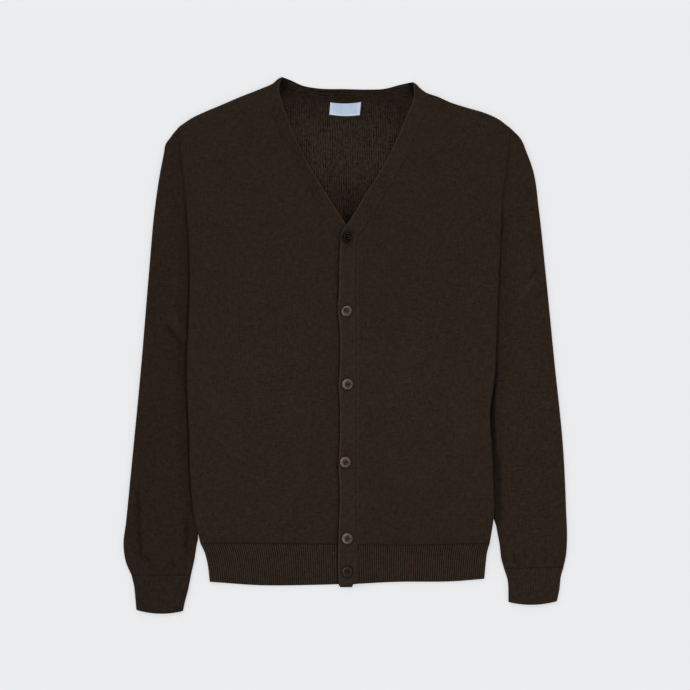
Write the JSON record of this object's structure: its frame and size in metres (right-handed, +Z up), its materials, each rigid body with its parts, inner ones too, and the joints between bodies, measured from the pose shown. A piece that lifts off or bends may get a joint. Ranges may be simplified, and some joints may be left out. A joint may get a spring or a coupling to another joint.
{
  "type": "v-neck button cardigan laid flat",
  "caption": "Fine-knit V-neck cardigan with long sleeves, ribbed cuffs and hem and a buttoned front, laid flat on its back",
  "frame": {"origin": "middle of the footprint of the laid-out cardigan, on the surface that it lies on", "axes": "+Y to the neck along the garment's length, +Z up from the surface toward the viewer of the front, +X to the viewer's right"},
  "size_m": [0.6135, 0.7424, 0.0109],
  "materials": {
    "knit": "fine plain knit, matt with a faint sheen",
    "knit_inside": "reverse side of the plain knit, seen inside the neck",
    "rib": "ribbed knit of hem and cuffs",
    "band": "doubled knit band of the front and neck",
    "label": "bare woven satin label",
    "button": "brown horn-like resin",
    "button_dark": "near-black resin"
  },
  "bodies": {
    "root": {"back_panel": "knit_inside", "front_panel_left": "knit", "front_panel_right": "knit", "sleeve_left": "knit", "sleeve_right": "knit", "cuff_left": "rib", "cuff_right": "rib", "hem_rib_back": "rib", "hem_rib_front_left": "rib", "hem_rib_front_right": "rib", "front_band_under": "band", "front_band_over": "band", "neckband_back": "band", "neck_label": "label", "button_1": "button_dark", "button_2": "button", "button_3": "button", "button_4": "button", "button_5": "button", "button_6": "button"}
  },
  "joints": []
}
